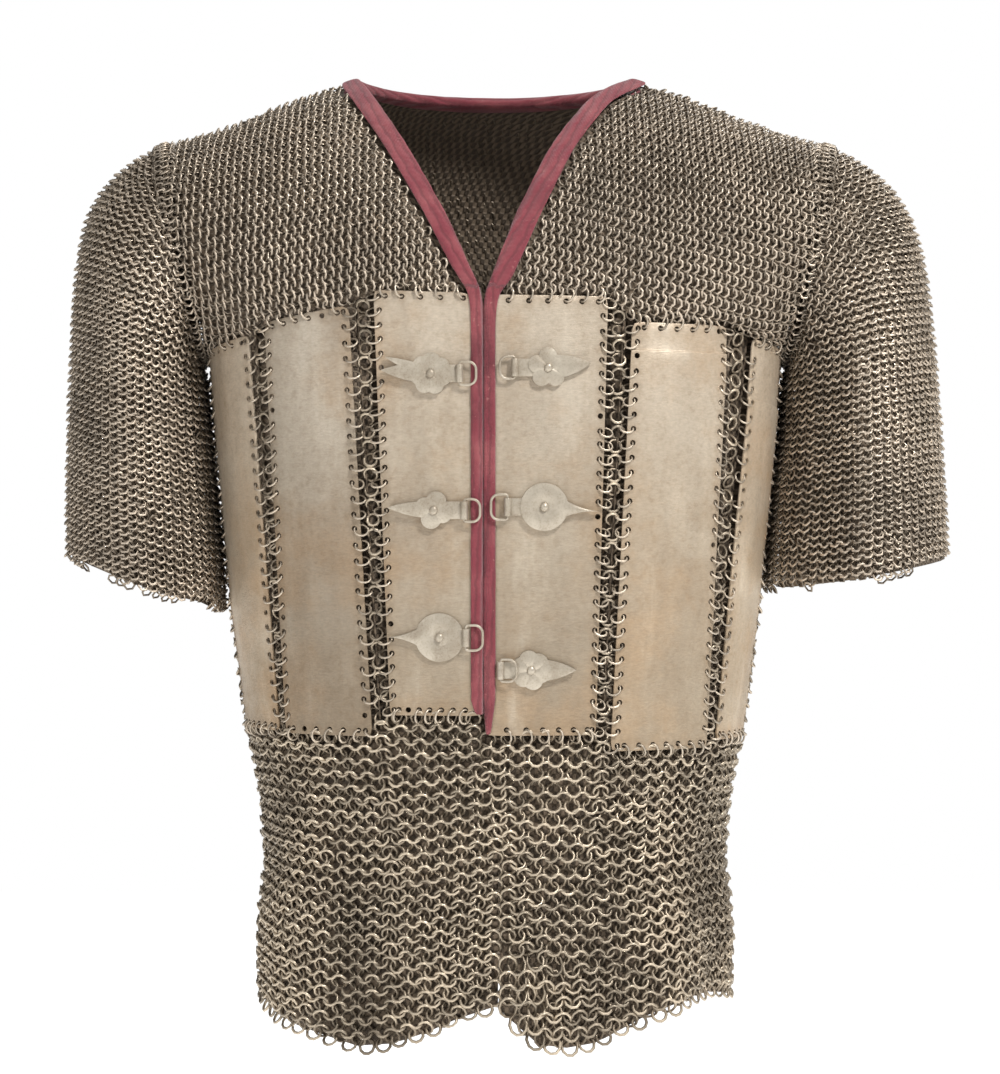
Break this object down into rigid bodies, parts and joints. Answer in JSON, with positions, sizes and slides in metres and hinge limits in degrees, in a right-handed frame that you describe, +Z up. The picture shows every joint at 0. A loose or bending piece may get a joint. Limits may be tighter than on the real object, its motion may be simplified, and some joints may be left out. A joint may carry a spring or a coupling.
{
  "type": "mail and plate hauberk",
  "caption": "Open-fronted, short-sleeved mail coat with iron plates linked across its front, cloth bound neck and front edges, and riveted clasps with hinged loops.",
  "frame": {"origin": "middle of the shoulder line, level with the neck points, where the wearer carries the coat", "axes": "+Z up, +X to the wearer's left, the front faces -Y"},
  "size_m": [0.556, 0.2413, 0.6019],
  "materials": {
    "mail_fine": "worn iron rings with brown patina",
    "mail_coarse": "worn iron rings with brown patina",
    "plate": "hand worked iron plate, dulled, with brown stains",
    "clasp": "hand worked iron, dulled",
    "binding": "faded red woven cloth"
  },
  "bodies": {
    "coat": {"yoke_right": "mail_fine", "sleeve_right": "mail_fine", "plate_front_right": "plate", "link_strip_front_right": "mail_coarse", "plate_middle_right": "plate", "link_strip_side_right": "mail_coarse", "plate_side_right": "plate", "skirt_right": "mail_coarse", "binding_right": "binding", "yoke_left": "mail_fine", "sleeve_left": "mail_fine", "plate_front_left": "plate", "link_strip_front_left": "mail_coarse", "plate_middle_left": "plate", "link_strip_side_left": "mail_coarse", "plate_side_left": "plate", "skirt_left": "mail_coarse", "binding_left": "binding", "back_yoke": "mail_fine", "back_body": "mail_coarse", "binding_back": "binding", "clasp_right_top": "clasp", "clasp_right_middle": "clasp", "clasp_right_low": "clasp", "clasp_left_top": "clasp", "clasp_left_middle": "clasp", "clasp_left_low": "clasp"},
    "right_top_loop": {"loop_right_top": "clasp"},
    "right_middle_loop": {"loop_right_middle": "clasp"},
    "right_low_loop": {"loop_right_low": "clasp"},
    "left_top_loop": {"loop_left_top": "clasp"},
    "left_middle_loop": {"loop_left_middle": "clasp"},
    "left_low_loop": {"loop_left_low": "clasp"}
  },
  "joints": [
    {"name": "right_top_loop_hinge", "type": "hinge", "parent": "coat", "child": "right_top_loop", "pos_m": [-0.02124, -0.11906, -0.18742], "axis": [0, -0.0219, -0.9998], "range_deg": [0, 165]},
    {"name": "right_middle_loop_hinge", "type": "hinge", "parent": "coat", "child": "right_middle_loop", "pos_m": [-0.01845, -0.1199, -0.26921], "axis": [0, 0.0529, -0.9986], "range_deg": [0, 165]},
    {"name": "right_low_loop_hinge", "type": "hinge", "parent": "coat", "child": "right_low_loop", "pos_m": [-0.01753, -0.11573, -0.34562], "axis": [0, 0.0601, -0.9982], "range_deg": [0, 165]},
    {"name": "left_top_loop_hinge", "type": "hinge", "parent": "coat", "child": "left_top_loop", "pos_m": [0.01188, -0.11926, -0.18392], "axis": [0, 0.0225, 0.9997], "range_deg": [0, 165]},
    {"name": "left_middle_loop_hinge", "type": "hinge", "parent": "coat", "child": "left_middle_loop", "pos_m": [0.00758, -0.12032, -0.2672], "axis": [0, -0.0524, 0.9986], "range_deg": [0, 165]},
    {"name": "left_low_loop_hinge", "type": "hinge", "parent": "coat", "child": "left_low_loop", "pos_m": [0.00332, -0.11481, -0.36519], "axis": [0, -0.0592, 0.9982], "range_deg": [-165, 0]}
  ]
}
